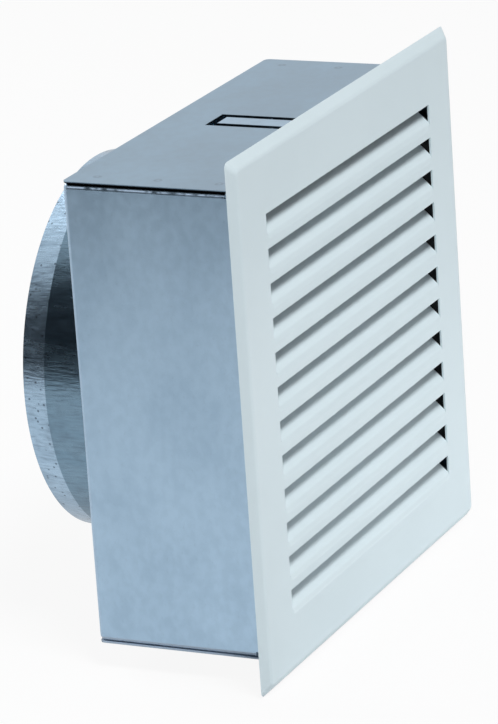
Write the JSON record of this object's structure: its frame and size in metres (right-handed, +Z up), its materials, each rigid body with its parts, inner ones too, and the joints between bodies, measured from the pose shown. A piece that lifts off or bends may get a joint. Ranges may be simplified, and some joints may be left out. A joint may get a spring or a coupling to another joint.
{
  "type": "supply air outlet",
  "caption": "Square white louvred wall grille on a shallow galvanised sheet-steel box with a round duct spigot at the back; the grille pulls off its leaf springs.",
  "frame": {"origin": "on the spigot's axis, in the plane of the finished wall that the grille's rim meets", "axes": "+X to the right seen from the room, +Y into the wall along the spigot's axis, +Z up"},
  "size_m": [0.22, 0.1156, 0.22],
  "materials": {
    "white_coat": "smooth semi-matt white powder coat on sheet steel",
    "galvanised_sheet": "zinc-coated sheet, satin, faint cloudy mottling",
    "spigot_sheet": "zinc-coated sheet, rolled, fine streaks across the tube",
    "black_coat": "matt black coat on the sheet-steel spring carriers",
    "spring_steel": "bright spring strip",
    "rivet_steel": "plain zinc-plated rivets"
  },
  "bodies": {
    "box": {"box_shell": "galvanised_sheet", "top_cover": "galvanised_sheet", "bottom_cover": "galvanised_sheet", "duct_spigot": "spigot_sheet"},
    "grille": {"front_grille": "white_coat", "left_spring_carrier": "black_coat", "right_spring_carrier": "black_coat", "upper_left_spring": "spring_steel", "lower_left_spring": "spring_steel", "upper_right_spring": "spring_steel", "lower_right_spring": "spring_steel", "spring_rivets": "rivet_steel"}
  },
  "joints": [
    {"name": "grille_pull", "type": "slide", "parent": "box", "child": "grille", "axis": [0, -1, 0], "range_m": [0, 0.045]}
  ]
}
